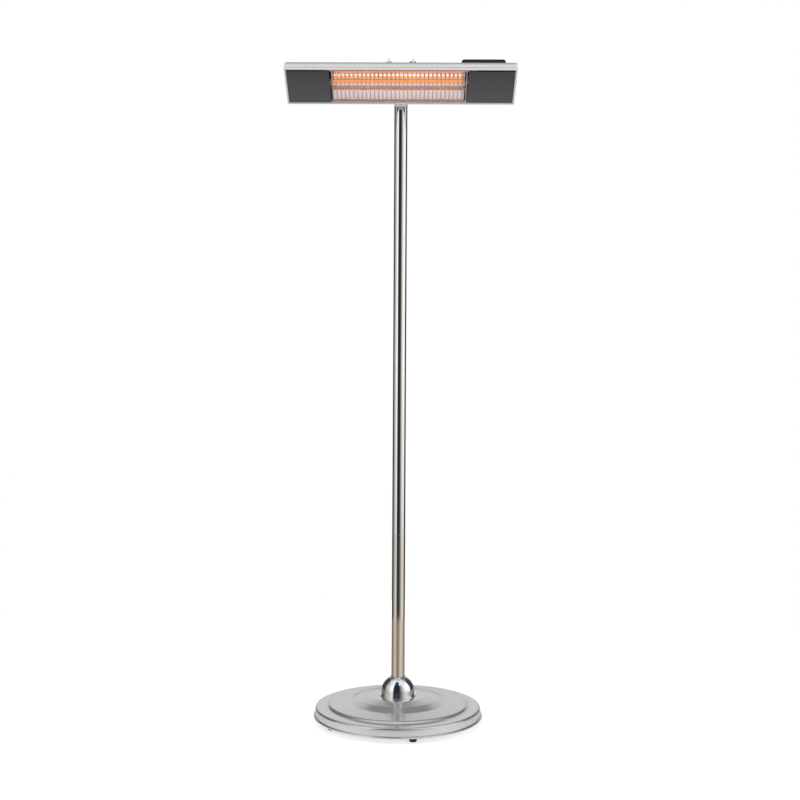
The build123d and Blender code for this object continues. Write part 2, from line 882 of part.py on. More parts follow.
def box_outline(inset):
    """Rounded outline of the control box in X and Z."""
    outline = RectangleRounded(box_length - 2 * inset, box_width - 2 * inset, box_corner - inset)
    return Pos(box_middle, 0) * outline


def control_box():
    """Moulded cover with screw bosses, a hole for the gland and one for the switch."""
    solid = slab(box_outline(0), box_front, box_back - box_front)
    solid = fillet(solid.faces().sort_by(Axis.Y)[-1].edges(), box_edge)
    opening = solid.faces().sort_by(Axis.Y)[0]
    box = offset(solid, amount=-box_wall, openings=opening)
    bosses = [Pos(x, z) * Circle(box_boss_radius) for x, z in box_screw_places()]
    box += slab(Sketch() + bosses, box_front, box_back - box_front) & solid
    holes = [Pos(x, z) * Circle(screw_radius + hole_gap) for x, z in box_screw_places()]
    box -= slab(Sketch() + holes, box_front, box_height)
    box -= aim(Cylinder(gland_radius + hole_gap, 4 * box_wall), (box_left, gland_y, 0), (-1, 0, 0))
    body = switch_body_outline(switch_fit)
    return box - at_switch(extrude(body, -2 * box_wall))


def box_gasket():
    """Seal between the control box and the housing."""
    holes = [Pos(x, z) * Circle(screw_radius + hole_gap) for x, z in box_screw_places()]
    pads = [Pos(x, z) * Circle(box_boss_radius) for x, z in box_screw_places()]
    outline = box_outline(0) - box_outline(gasket_width) + pads
    return slab(outline - holes, back_y, gasket_thickness)


def box_screws():
    """Long screws through the box's bosses into the housing."""
    head = pan_head(screw_head_radius, screw_head)
    piece = bolt(screw_radius, head, box_height + head_wall)
    return [aim(piece, (x, box_back, z), (0, 1, 0)) for x, z in box_screw_places()]


def terminal_block():
    """Block on the housing's back that takes the lamp's leads."""
    middle = Pos(terminal_x, terminal_spacing / 2)
    block = slab(middle * Rectangle(terminal_length, terminal_width), back_y, terminal_height)
    holes = [Pos(x, z) * Circle(lead_radius + ceramic_fit) for x, z in terminal_places()]
    return block - slab(Sketch() + holes, back_y, terminal_depth)


def board_middle():
    """Middle of the control board in X and Z."""
    return ((board_left + board_right) / 2, (board_low + board_top) / 2)


def control_board():
    """Circuit board on its standoffs."""
    outline = Pos(*board_middle()) * Rectangle(board_length, board_width)
    return slab(outline, back_y + standoff_height, board_sheet)


def board_standoffs():
    """Posts between the housing's back and the board."""
    spread_x = board_length - 2 * standoff_inset
    spread_z = board_width - 2 * standoff_inset
    places = GridLocations(spread_x, spread_z, 2, 2)
    posts = [Pos(*board_middle()) * place * Circle(standoff_radius) for place in places]
    return [slab(post, back_y, standoff_height) for post in posts]


def tip_switch():
    """Sealed switch on the board that cuts the power when the heater falls."""
    outline = Pos(*board_middle()) * RectangleRounded(tip_switch_size, tip_switch_size, box_wall)
    return slab(outline, back_y + standoff_height + board_sheet, tip_switch_height)


def at_gland(piece):
    """A piece drawn along +Z, put on the gland's axis at the box's left end."""
    return aim(piece, (box_left, gland_y, 0), (-1, 0, 0))


def cable_gland():
    """Threaded gland through the box's end wall."""
    reach = box_wall + gland_inside
    body = hexagon(gland_across, gland_flange) + Pos(0, 0, -reach) * rod(gland_radius, reach)
    return at_gland(body - Pos(0, 0, -reach) * rod(gland_radius - gland_wall, reach + gland_flange))


def gland_seal():
    """Rubber insert that closes the gland and fills the cap to near its mouth."""
    seal = rod(gland_radius - gland_wall, gland_flange)
    return at_gland(seal + rod(gland_cap_mouth, gland_flange + gland_cap_length - gland_recess))


def gland_cap():
    """Domed cap that squeezes the insert."""
    cap = Pos(0, 0, gland_flange) * Cone(
        gland_cap_radius, gland_cap_mouth + gland_wall, gland_cap_length, align=standing
    )
    return at_gland(cap - Pos(0, 0, gland_flange) * rod(gland_cap_mouth, gland_cap_length))


def gland_locknut():
    """Nut that holds the gland from inside the box."""
    piece = Pos(0, 0, -box_wall - gland_locknut_height)
    return at_gland(piece * nut(gland_radius, gland_across, gland_locknut_height))


# Rocker switch, drawn with its pin along Y at the origin and +Z out of the box


def at_switch(piece):
    """Put a piece of the switch on the box's lower side."""
    return Pos(switch_x, switch_y, switch_z) * Rot(180, 0, 0) * piece


def switch_cavity():
    """Length and width of the space that the rocker moves in."""
    return (rocker_length + 2 * rocker_gap, rocker_width + 2 * rocker_gap)


def switch_body_outline(gap):
    """Outline of the switch's body where it passes the box's wall."""
    length, width = switch_cavity()
    grow = 2 * (switch_wall + gap)
    return Rectangle(length + grow, width + grow)


def switch_frame():
    """Bezel and body of the switch, with holes for the rocker's pin."""
    length, width = switch_cavity()
    grow = 2 * (switch_wall + bezel_width)
    frame = extrude(RectangleRounded(length + grow, width + grow, bezel_width), bezel_height)
    frame += extrude(switch_body_outline(0), -switch_depth)
    cavity = extrude(Rectangle(length, width), switch_depth - switch_floor + bezel_height)
    frame -= Pos(0, 0, switch_floor - switch_depth) * cavity
    pin_span = rocker_width + 2 * rocker_pin_length + 2 * rocker_gap
    return at_switch(frame - Rot(90, 0, 0) * Cylinder(rocker_pin_radius + rocker_fit, pin_span))


def switch_rocker():
    """Rocker with a dip in its middle and a pin at each side, pressed to one end."""
    half = rocker_length / 2
    rise = half * tan(radians(rocker_angle))
    outline = Polyline(
        (-half, -rocker_inside),
        (half, -rocker_inside),
        (half, rocker_middle + rise),
        (0, rocker_middle),
        (-half, rocker_middle + rise),
        close=True,
    )
    section = make_face(outline) & Circle(half)
    paddle = slab(section, -rocker_width / 2, rocker_width)
    pin = Rot(90, 0, 0) * Cylinder(rocker_pin_radius, rocker_width + 2 * rocker_pin_length)
    return at_switch(Rot(0, rocker_angle, 0) * (paddle + pin))


# Write every piece

os.makedirs("parts", exist_ok=True)

save("base_cover", base_cover())
save("base_weight", base_weight())
save("base_plate", base_plate())
save("rubber_feet", *rubber_feet())
save("foot_studs", *foot_studs())
save("pole_socket", pole_socket())
save("socket_bolts", *socket_bolts())
save("socket_nuts", *socket_nuts())
save("base_dome", base_dome())
save("pole_lower", pole_length(pole_bottom, lower_length))
save("pole_lower_middle", pole_length(lower_joint, lower_middle_length))
save("pole_upper_middle", pole_length(middle_joint, upper_middle_length))
save("pole_upper", pole_upper())
save("pole_plug", pole_plug())
save("pole_bracket", pole_bracket())
save("pole_saddle", pole_saddle())
save("bracket_bolts", *bracket_bolts())
save("bracket_nuts", *bracket_nuts())
save("tilt_bolts", *tilt_bolts())
save("tilt_washers", *tilt_washers())
save("tilt_nuts", *tilt_nuts())

head_pieces = {
    "head_housing": [head_housing()],
    "end_cap_left": [end_cap(-1)],
    "end_cap_right": [end_cap(1)],
    "end_cap_screws": end_cap_screws(),
    "front_panel_left": [face_plate(-housing_end, -left_edge, panel_front, panel_sheet, panel_vent)],
    "front_panel_right": [face_plate(right_edge, housing_end, panel_front, panel_sheet, panel_vent)],
    "lamp_guard": [lamp_guard()],
    "reflector": [reflector()],
    "partition_left": [partition(left_partition, -1)],
    "partition_right": [partition(right_partition, 1)],
    "lamp_tube": [lamp_tube()],
    "lamp_filament": [lamp_filament()],
    "lamp_sleeves": lamp_sleeves(),
    "lamp_clips": lamp_clips(),
    "lamp_leads": lamp_leads(),
    "head_bracket": [head_bracket()],
    "head_bracket_screws": head_screws(0),
    "control_box": [control_box()],
    "box_gasket": [box_gasket()],
    "box_screws": box_screws(),
    "terminal_block": [terminal_block()],
    "control_board": [control_board()],
    "board_standoffs": board_standoffs(),
    "tip_switch": [tip_switch()],
    "cable_gland": [cable_gland()],
    "gland_seal": [gland_seal()],
    "gland_cap": [gland_cap()],
    "gland_locknut": [gland_locknut()],
    "switch_frame": [switch_frame()],
    "switch_rocker": [switch_rocker()],
}
for node, pieces in head_pieces.items():
    save(node, *[on_head(piece) for piece in pieces])
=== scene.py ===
# %% [markdown]
# # A free-standing patio heater
# The heater is a weighted round base, a polished pole in four lengths and a wide
# lamp head that tilts down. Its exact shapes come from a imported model. This lesson
# gives every piece its finish, models the small parts that a plain solid only hints
# at, and sets up the camera and the light of a product photograph.

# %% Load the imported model
import json
from math import cos, pi, radians, sin

import bmesh
import bpy
from mathutils import Matrix, Vector


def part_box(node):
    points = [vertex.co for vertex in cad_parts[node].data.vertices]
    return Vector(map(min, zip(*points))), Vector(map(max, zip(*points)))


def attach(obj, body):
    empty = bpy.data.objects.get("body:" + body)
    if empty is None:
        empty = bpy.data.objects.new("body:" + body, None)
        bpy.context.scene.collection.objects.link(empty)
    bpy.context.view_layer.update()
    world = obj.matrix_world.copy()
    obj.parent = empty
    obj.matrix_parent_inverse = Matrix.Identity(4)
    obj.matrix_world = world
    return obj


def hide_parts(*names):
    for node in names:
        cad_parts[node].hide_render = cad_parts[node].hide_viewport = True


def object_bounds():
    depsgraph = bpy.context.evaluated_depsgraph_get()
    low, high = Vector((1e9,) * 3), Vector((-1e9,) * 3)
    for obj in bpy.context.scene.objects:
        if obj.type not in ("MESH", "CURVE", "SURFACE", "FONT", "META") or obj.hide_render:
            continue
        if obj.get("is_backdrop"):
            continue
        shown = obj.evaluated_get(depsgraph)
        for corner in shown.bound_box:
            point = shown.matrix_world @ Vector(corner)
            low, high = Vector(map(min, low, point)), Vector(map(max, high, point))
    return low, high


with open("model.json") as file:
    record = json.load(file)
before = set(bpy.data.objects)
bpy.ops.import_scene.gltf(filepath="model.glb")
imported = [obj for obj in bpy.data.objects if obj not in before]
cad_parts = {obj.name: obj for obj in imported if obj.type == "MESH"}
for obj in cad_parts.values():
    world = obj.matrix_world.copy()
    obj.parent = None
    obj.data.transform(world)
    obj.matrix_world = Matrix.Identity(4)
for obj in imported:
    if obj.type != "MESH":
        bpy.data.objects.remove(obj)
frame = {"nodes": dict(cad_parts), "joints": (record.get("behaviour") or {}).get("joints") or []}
nodes = frame["nodes"]
cad_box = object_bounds()
scene = bpy.context.scene
scene.view_settings.view_transform = "Standard"

# %% [markdown]
# ## The camera
# The photograph was taken level, from a little under half the heater's height and
# far enough back that the pole stays almost parallel. The camera stood a little to the
# right of the pole and leaned by a third of a degree. A focal length in pixels is
# turned into a lens in millimetres by the width of the sensor.

# %% Place the camera
photo_width = 800  # pixels
focal_length = 1124.5  # pixels
camera_place = (0.03, -3.382, 0.961)
camera_roll = radians(-0.30)
camera_yaw = radians(0.478)

camera_turn = (radians(90), camera_roll, camera_yaw)
bpy.ops.object.camera_add(location=camera_place, rotation=camera_turn)
camera = bpy.context.object
camera.data.lens = camera.data.sensor_width * focal_length / photo_width
scene.camera = camera
print("lens", round(camera.data.lens, 2), "mm")

# %% [markdown]
# ## Helpers for the finishes
# Each finish starts from the Principled shader. What is the same all over, such as
# metal or not, is set on the shader itself. What varies comes from noise on the
# piece's own coordinates: the noise can move the colour between two tones, move the
# roughness, and raise or lower the surface a little. Painted pictures could do the
# same, but noise needs no files and no unwrapping.

# %% Start a finish and add nodes to it
def start_finish(name, **constants):
    """A new material and its shader, with the values that are the same all over."""
    finish = bpy.data.materials.new(name)
    finish.use_nodes = True
    shader = finish.node_tree.nodes["Principled BSDF"]
    for socket, value in constants.items():
        shader.inputs[socket.replace("_", " ")].default_value = value
    return finish, shader


def add_node(owner, kind, inputs, **fields):
    """A new node of a material or a world, whose inputs are either linked or set."""
    made = owner.node_tree.nodes.new(kind)
    for field, value in fields.items():
        setattr(made, field, value)
    for socket, value in inputs.items():
        if isinstance(value, bpy.types.NodeSocket):
            owner.node_tree.links.new(value, made.inputs[socket])
        else:
            made.inputs[socket].default_value = value
    return made


def into_shader(finish, shader, socket, output):
    """Link a node's output to one of the shader's sockets."""
    finish.node_tree.links.new(output, shader.inputs[socket])


# %% Sums and ranges
def calculate(owner, operation, first, second):
    """One step of arithmetic with two values."""
    step = add_node(owner, "ShaderNodeMath", {0: first, 1: second}, operation=operation)
    return step.outputs["Value"]


def ease(owner, value, start, end):
    """A value that goes from one (input, output) pair to another and stays there."""
    span = {"Value": value, "From Min": start[0], "From Max": end[0]}
    span.update({"To Min": start[1], "To Max": end[1]})
    return add_node(owner, "ShaderNodeMapRange", span).outputs["Result"]


# %% Patterns on a piece's own coordinates
fine_detail = 3.0


def own_place(finish, stretch=(1, 1, 1)):
    """The piece's own coordinates, squeezed along the axes that a pattern runs along."""
    place = add_node(finish, "ShaderNodeTexCoord", {}).outputs["Object"]
    mapping = add_node(finish, "ShaderNodeMapping", {"Vector": place, "Scale": stretch})
    return mapping.outputs["Vector"]


def from_axis(finish):
    """How far each point lies from the pole's axis, in metres."""
    flat = own_place(finish, (1, 1, 0))
    return add_node(finish, "ShaderNodeVectorMath", {0: flat}, operation="LENGTH").outputs["Value"]


def grain(finish, size, stretch=(1, 1, 1), detail=fine_detail):
    """Noise whose features are about this large, in metres."""
    inputs = {"Vector": own_place(finish, stretch), "Scale": 1 / size, "Detail": detail}
    return add_node(finish, "ShaderNodeTexNoise", inputs).outputs["Fac"]


def rings(finish, size):
    """Noise in rings round the pole's axis, as a turning tool leaves it."""
    inputs = {"W": from_axis(finish), "Scale": 1 / size, "Detail": fine_detail}
    return add_node(finish, "ShaderNodeTexNoise", inputs, noise_dimensions="1D").outputs["Fac"]


# %% What a pattern can change
noise_low = 0.3  # noise seldom goes below the first or above the second
noise_high = 0.7


def tones(finish, shader, pattern, dark, light):
    """Let a pattern move the colour between two tones."""
    ramp = add_node(finish, "ShaderNodeValToRGB", {"Fac": pattern})
    ends = ramp.color_ramp.elements
    for end, position, colour in ((ends[0], noise_low, dark), (ends[1], noise_high, light)):
        end.position = position
        end.color = (*colour, 1)
    into_shader(finish, shader, "Base Color", ramp.outputs["Color"])


def gloss(finish, shader, pattern, smooth, rough):
    """Let a pattern move the roughness between two values."""
    roughness = ease(finish, pattern, (noise_low, smooth), (noise_high, rough))
    into_shader(finish, shader, "Roughness", roughness)


def relief(finish, shader, pattern, depth):
    """Let a pattern raise and lower the surface by about this depth, in metres."""
    bump = add_node(finish, "ShaderNodeBump", {"Height": pattern, "Distance": depth})
    into_shader(finish, shader, "Normal", bump.outputs["Normal"])


# %% A whole finish at once, and how a piece gets it
def even_finish(name, size, dark, light, smooth, rough, depth=0, detail=fine_detail, **constants):
    """A finish whose tone, gloss and relief all follow the same even grain."""
    finish, shader = start_finish(name, **constants)
    pattern = grain(finish, size, detail=detail)
    tones(finish, shader, pattern, dark, light)
    gloss(finish, shader, pattern, smooth, rough)
    if depth:
        relief(finish, shader, pattern, depth)
    return finish


def dress(finish, *names):
    """Give CAD nodes a finish through their material slots."""
    for name in names:
        nodes[name].material_slots[0].material = finish
    print(finish.name, "on", ", ".join(names))


# %% [markdown]
# ## Spun and polished metal
# The base cover is a disc that was spun over a form and brushed while it turned, so
# its marks run in rings. The dome is the same metal, polished and plated. The pole is
# a polished tube, and its faint marks run along it. A photograph of a bright metal
# shows mostly the room, so these finishes stay almost mirrors: the tone is set by the
# metal's colour, and the noise only softens the reflections here and there. The
# brushed cover scatters some light as well, so it is not all metal and keeps its pale
# grey where the room is dark.

# %% Base cover, dome and pole
cover_finish, shader = start_finish("spun_cover", Metallic=0.75)
turned = rings(cover_finish, 0.0012)
broad_rings = rings(cover_finish, 0.03)
tones(cover_finish, shader, broad_rings, (0.585, 0.585, 0.59), (0.605, 0.605, 0.61))
gloss(cover_finish, shader, turned, 0.18, 0.23)
relief(cover_finish, shader, turned, 0.0000005)
dress(cover_finish, "base_cover")

plating = (0.70, 0.73, 0.78), (0.76, 0.785, 0.82)
dome_finish = even_finish("plated_dome", 0.02, *plating, 0.07, 0.11, Metallic=1.0)
dress(dome_finish, "base_dome")

pole_finish, shader = start_finish("polished_pole", Metallic=1.0)
drawn = grain(pole_finish, 0.0015, (1, 1, 0.01))
patches = grain(pole_finish, 0.12, (1, 1, 0.4))
tones(pole_finish, shader, patches, (0.70, 0.68, 0.65), (0.75, 0.735, 0.71))
gloss(pole_finish, shader, drawn, 0.04, 0.10)
dress(pole_finish, "pole_lower", "pole_lower_middle", "pole_upper_middle", "pole_upper")

# %% [markdown]
# ## Anodised and painted head
# The housing is an aluminium extrusion with a satin skin: die lines run along it, so
# the noise is squeezed along X. Such a skin scatters part of the light instead of
# mirroring it, so the finish is only partly metal. A full metal would be a mirror that
# turns black wherever the room is dark.

# %% Housing
satin_metal = 0.6
housing_finish, shader = start_finish("satin_aluminium")
die_lines = grain(housing_finish, 0.0008, (0.01, 1, 1))
streaks = grain(housing_finish, 0.01, (0.05, 1, 1))
tones(housing_finish, shader, die_lines, (0.66, 0.66, 0.66), (0.72, 0.72, 0.715))
gloss(housing_finish, shader, streaks, 0.17, 0.23)
relief(housing_finish, shader, die_lines, 0.0000015)
dress(housing_finish, "head_housing")

# %% [markdown]
# Inside, the housing is dark above the lamp and pale below it: painted shade in the gap
# above the lamp, and painted light, less metal, on the recess below it. Inside and outside
# are one solid with one material, so masks lay these two colours on: a mask is a value
# that is 1 where the colour goes and 0 elsewhere. It comes from the depth and height of
# a point in the head, and from the way the surface faces. Faces could be picked for
# a second material instead, but a CAD node's mesh is left alone.

# %% Directions of the head
tilt_joint = next(joint for joint in frame["joints"] if joint["name"] == "head_tilt")
head_lean = radians(-tilt_joint["range_deg"][0])
head_back = Vector((0, cos(head_lean), sin(head_lean)))  # from the head's face to its back
head_up = Vector((0, -sin(head_lean), cos(head_lean)))


def reach_of(name, way):
    """The lowest and highest place of a CAD node along a direction."""
    places = [corner.co.dot(way) for corner in nodes[name].data.vertices]
    return min(places), max(places)


face, back = reach_of("head_housing", head_back)
bottom, top = reach_of("head_housing", head_up)
print("housing", round(back - face, 4), "deep,", round(top - bottom, 4), "tall")

# %% Masks, and a colour that goes over another
def part_along(finish, arrow, way):
    """How much of a place or a normal lies along a direction."""
    sides = {0: arrow, 1: way}
    part = add_node(finish, "ShaderNodeVectorMath", sides, operation="DOT_PRODUCT")
    return part.outputs["Value"]


def along(finish, way):
    """How far along a direction each point of a piece lies."""
    return part_along(finish, own_place(finish), way)


def facing(finish, way):
    """1 where a surface faces a direction, and -1 where it faces away."""
    normal = add_node(finish, "ShaderNodeTexCoord", {}).outputs["Normal"]
    return part_along(finish, normal, way)


def all_of(finish, first, *others):
    """1 where every mask is 1."""
    for other in others:
        first = calculate(finish, "MULTIPLY", first, other)
    return first


def mixed(finish, share, under, over):
    """One colour, and another over it where the share is 1."""
    layers = {"Fac": share, "Color1": under, "Color2": over}
    return add_node(finish, "ShaderNodeMixRGB", layers).outputs["Color"]


def recolour(finish, shader, share, colour):
    """Lay a colour over the base colour where the share is 1."""
    under = shader.inputs["Base Color"].links[0].from_socket
    into_shader(finish, shader, "Base Color", mixed(finish, share, under, (*colour, 1)))


# %% Painted shade and light inside the housing
rim_depth = 0.0023  # the rim of the opening stays bare
level = 0.05  # a wall that leans less than this faces neither up nor down
# painted shade for the gap above the lamp, and painted light for the recess below it
painted_shade_inside = (0.012, 0.011, 0.010)
painted_light_inside = (0.86, 0.85, 0.84)

depth = along(housing_finish, head_back)
height = along(housing_finish, head_up)
rise = facing(housing_finish, head_up)
middle = (bottom + top) / 2
deep = calculate(housing_finish, "GREATER_THAN", depth, face + rim_depth)
inwards = calculate(housing_finish, "LESS_THAN", facing(housing_finish, head_back), level)

above = calculate(housing_finish, "GREATER_THAN", height, middle)
downwards = calculate(housing_finish, "LESS_THAN", rise, level)
roof = all_of(housing_finish, deep, inwards, above, downwards)
recolour(housing_finish, shader, roof, painted_shade_inside)

below = calculate(housing_finish, "LESS_THAN", height, middle)
upwards = calculate(housing_finish, "GREATER_THAN", rise, -level)
ground = all_of(housing_finish, deep, inwards, below, upwards)
recolour(housing_finish, shader, ground, painted_light_inside)
metal_share = ease(housing_finish, ground, (0, satin_metal), (1, 0))
into_shader(housing_finish, shader, "Metallic", metal_share)
print("housing dark above and pale below", round(middle, 4))

# %% [markdown]
# The end caps are cut from sheet and have no die lines. The front panels are painted
# dark grey with a fine even grain. A gradient along the head paints shade onto them,
# so they are darker towards the top.

# %% End caps and front panels
cap_finish, shader = start_finish("satin_cap", Metallic=satin_metal)
speckle = grain(cap_finish, 0.0006)
tones(cap_finish, shader, speckle, (0.70, 0.70, 0.695), (0.75, 0.75, 0.745))
gloss(cap_finish, shader, grain(cap_finish, 0.01), 0.28, 0.36)
dress(cap_finish, "end_cap_left", "end_cap_right")

panel_finish, shader = start_finish("grey_panel", Specular_IOR_Level=0.35)
speckle = grain(panel_finish, 0.0004)
tones(panel_finish, shader, speckle, (0.070, 0.070, 0.076), (0.094, 0.094, 0.102))
gloss(panel_finish, shader, grain(panel_finish, 0.03), 0.36, 0.44)
relief(panel_finish, shader, speckle, 0.00001)
bottom, top = reach_of("front_panel_left", head_up)
# painted shade: the panels darken towards their upper edge
painted_top_shade = ease(panel_finish, along(panel_finish, head_up), (bottom, 0), (top, 0.55))
recolour(panel_finish, shader, painted_top_shade, (0.016, 0.016, 0.018))
dress(panel_finish, "front_panel_left", "front_panel_right")

# %% [markdown]
# ## The parts round the lamp
# The guard is a punched steel sheet, and its pink tone is the lamp's red glow, painted
# on. The reflector is a folded sheet of polished aluminium that is not quite even: a
# broad, shallow relief lets the lamp's image waver. Below the lamp it looks dull, and a
# gradient along the head paints a pink reflection of the lamp's glow there. The
# partitions that close the reflector's ends are plain steel, and so are the clips, the
# pole's socket and the bottom plate.

# %% Guard, reflector and plain steel
guard_finish, shader = start_finish("bright_guard", Metallic=0.5)
rolled = grain(guard_finish, 0.001, (0.02, 1, 1))
# the pink tone paints the lamp's red glow onto the bars
tones(guard_finish, shader, rolled, (0.62, 0.36, 0.33), (0.70, 0.42, 0.385))
gloss(guard_finish, shader, grain(guard_finish, 0.008), 0.14, 0.22)
dress(guard_finish, "lamp_guard")

polished = 0.06
dull = 0.50
fading = 0.012  # the polish fades out over this height under the lamp
reflector_finish, shader = start_finish("bright_reflector", Metallic=1.0)
rolled = grain(reflector_finish, 0.002, (0.03, 1, 1))
tones(reflector_finish, shader, rolled, (0.84, 0.84, 0.84), (0.90, 0.90, 0.90))
relief(reflector_finish, shader, grain(reflector_finish, 0.06, detail=0.0), 0.001)
lamp_low = reach_of("lamp_tube", head_up)[0]
height = along(reflector_finish, head_up)
roughness = ease(reflector_finish, height, (lamp_low - fading, dull), (lamp_low, polished))
into_shader(reflector_finish, shader, "Roughness", roughness)
# a painted pink reflection of the lamp's glow, where the reflector is dull
painted_glow_share = ease(reflector_finish, roughness, (polished, 0), (dull, 1))
recolour(reflector_finish, shader, painted_glow_share, (0.92, 0.82, 0.80))
dress(reflector_finish, "reflector")

rolled_steel = (0.46, 0.46, 0.47), (0.58, 0.58, 0.58)
steel_finish = even_finish("plain_steel", 0.006, *rolled_steel, 0.25, 0.45, Metallic=1.0)
dress(steel_finish, "partition_left", "partition_right", "lamp_clips", "pole_socket", "base_plate")

# %% [markdown]
# ## Brackets and fasteners
# The brackets are bent from sheet and painted silver, with the faint orange peel of
# sprayed paint. The screws, bolts and nuts are zinc plated, which leaves a cloudy
# shine. Both are the same all over, so one even grain is enough for each.

# %% Painted brackets and plated fasteners
silver = (0.84, 0.84, 0.83), (0.90, 0.90, 0.89)
bracket_finish = even_finish("bracket_silver", 0.0015, *silver, 0.30, 0.40, depth=0.00002)
dress(bracket_finish, "pole_bracket", "head_bracket")

zinc = (0.50, 0.50, 0.50), (0.62, 0.615, 0.60)
zinc_finish = even_finish("zinc_steel", 0.003, *zinc, 0.22, 0.38, Metallic=1.0)
dress(zinc_finish, "foot_studs", "socket_bolts", "socket_nuts", "bracket_bolts", "bracket_nuts")
dress(zinc_finish, "tilt_bolts", "tilt_nuts", "end_cap_screws", "head_bracket_screws", "box_screws")

# %% [markdown]
# ## Plastic, rubber and ceramic
# The control box and the small black parts are moulded with a fine grain that breaks
# up the shine. Rubber is darker and duller. The pieces inside the closed box and the
# base are dressed as well, because someone may take the model apart.

# %% Moulded black parts
plastic_finish, shader = start_finish("black_plastic", Specular_IOR_Level=0.2)
moulded = grain(plastic_finish, 0.0007)
tones(plastic_finish, shader, moulded, (0.006, 0.006, 0.0065), (0.010, 0.010, 0.0105))
gloss(plastic_finish, shader, grain(plastic_finish, 0.02), 0.46, 0.58)
relief(plastic_finish, shader, moulded, 0.00004)
dress(plastic_finish, "pole_plug", "pole_saddle", "control_box")
dress(plastic_finish, "cable_gland", "gland_cap", "gland_locknut")

dusty = (0.008, 0.008, 0.008), (0.016, 0.016, 0.015)
rubber_finish = even_finish("black_rubber", 0.004, *dusty, 0.6, 0.8)
dress(rubber_finish, "rubber_feet", "box_gasket", "gland_seal")

shiny_black = (0.012, 0.012, 0.012), (0.018, 0.018, 0.018)
switch_finish = even_finish("switch_case", 0.001, *shiny_black, 0.2, 0.3)
dress(switch_finish, "tip_switch", "switch_frame")

worn_black = (0.014, 0.014, 0.014), (0.022, 0.022, 0.022)
rocker_finish = even_finish("switch_rocker", 0.004, *worn_black, 0.12, 0.25)
dress(rocker_finish, "switch_rocker")

# %% Ceramic, nylon, leads, board, posts and ballast
glaze = (0.74, 0.72, 0.68), (0.82, 0.81, 0.78)
ceramic_finish = even_finish("white_ceramic", 0.002, *glaze, 0.3, 0.5)
dress(ceramic_finish, "lamp_sleeves", "terminal_block")

cloudy = (0.70, 0.68, 0.62), (0.78, 0.76, 0.71)
nylon_finish = even_finish("natural_nylon", 0.003, *cloudy, 0.35, 0.5)
dress(nylon_finish, "tilt_washers")

braid = (0.62, 0.58, 0.50), (0.76, 0.73, 0.66)
lead_finish = even_finish("silicone_lead", 0.0008, *braid, 0.5, 0.7)
dress(lead_finish, "lamp_leads")

lacquer = (0.012, 0.075, 0.030), (0.020, 0.120, 0.048)
board_finish = even_finish("circuit_board", 0.003, *lacquer, 0.2, 0.35, detail=0.0)
dress(board_finish, "control_board")

tarnish = (0.55, 0.38, 0.14), (0.70, 0.52, 0.22)
brass_finish = even_finish("brass_post", 0.002, *tarnish, 0.25, 0.4, Metallic=1.0)
dress(brass_finish, "board_standoffs")

gravel = (0.24, 0.235, 0.225), (0.42, 0.415, 0.40)
ballast = {"depth": 0.0004, "detail": 6.0}
concrete_finish = even_finish("cast_concrete", 0.006, *gravel, 0.75, 0.95, **ballast)
dress(concrete_finish, "base_weight")

# %% [markdown]
# ## The lamp
# The tube is quartz with a gold film that holds back the glare, so it is a clear
# glass with a warm tint. The element inside it glows: its colour and its strength go
# into the shader's emission, and the noise along it gives hotter and cooler turns.

# %% Quartz and the glowing element
quartz_finish, shader = start_finish("gold_quartz", Transmission_Weight=1.0, IOR=1.46)
film = grain(quartz_finish, 0.01, (0.1, 1, 1))
tones(quartz_finish, shader, film, (1.0, 0.62, 0.26), (1.0, 0.74, 0.40))
gloss(quartz_finish, shader, film, 0.0, 0.04)
dress(quartz_finish, "lamp_tube")

cooler_glow = (1.0, 0.16, 0.02, 1)
hotter_glow = (1.0, 0.42, 0.09, 1)
element_finish, shader = start_finish("glowing_element", Emission_Strength=2.2)
heat = grain(element_finish, 0.004)
tones(element_finish, shader, heat, (0.10, 0.03, 0.01), (0.20, 0.08, 0.02))
glow = add_node(element_finish, "ShaderNodeValToRGB", {"Fac": heat})
glow.color_ramp.elements[0].color = cooler_glow
glow.color_ramp.elements[1].color = hotter_glow
into_shader(element_finish, shader, "Emission Color", glow.outputs["Color"])
dress(element_finish, "lamp_filament")

# %% [markdown]
# ## Small parts
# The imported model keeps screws, bolts and the heating element plain. Here each kind is
# modelled once, hanging down from the origin. Copies of it then go to the seats of the
# plain solids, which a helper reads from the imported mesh: it sorts the corners into
# separate solids and finds the middle of the end that points outward. Places could be
# typed in by hand, but then they would be wrong as soon as a size changes.

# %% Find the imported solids
merge_distance = 1e-6
place_digits = 4  # a tenth of a millimetre


def lowest_place(corners):
    """The least X, Y and Z of a solid."""
    return [round(min(corner[axis] for corner in corners), place_digits) for axis in range(3)]


def solids_of(name):
    """The corners of each separate solid of a CAD node, in the same order each time."""
    mesh = bmesh.new()
    mesh.from_mesh(nodes[name].data)
    bmesh.ops.remove_doubles(mesh, verts=mesh.verts, dist=merge_distance)
    waiting = set(mesh.verts)
    solids = []
    while waiting:
        reached = [waiting.pop()]
        for corner in reached:
            near = {edge.other_vert(corner) for edge in corner.link_edges} & waiting
            waiting -= near
            reached.extend(near)
        solids.append([corner.co.copy() for corner in reached])
    mesh.free()
    return sorted(solids, key=lowest_place)


print(len(solids_of("box_screws")), "box screws found")

# %% Which way a solid points, and where its seat is
def outward(corners):
    """The way out, left or right, on the side where a solid sits."""
    return Vector((1, 0, 0)) if sum(corner.x for corner in corners) > 0 else Vector((-1, 0, 0))


def always(way):
    """A rule that gives every solid the same way."""
    return lambda corners: way


def length_of(corners, way):
    """How long a solid is along the way that it points."""
    places = [corner.dot(way) for corner in corners]
    return max(places) - min(places)


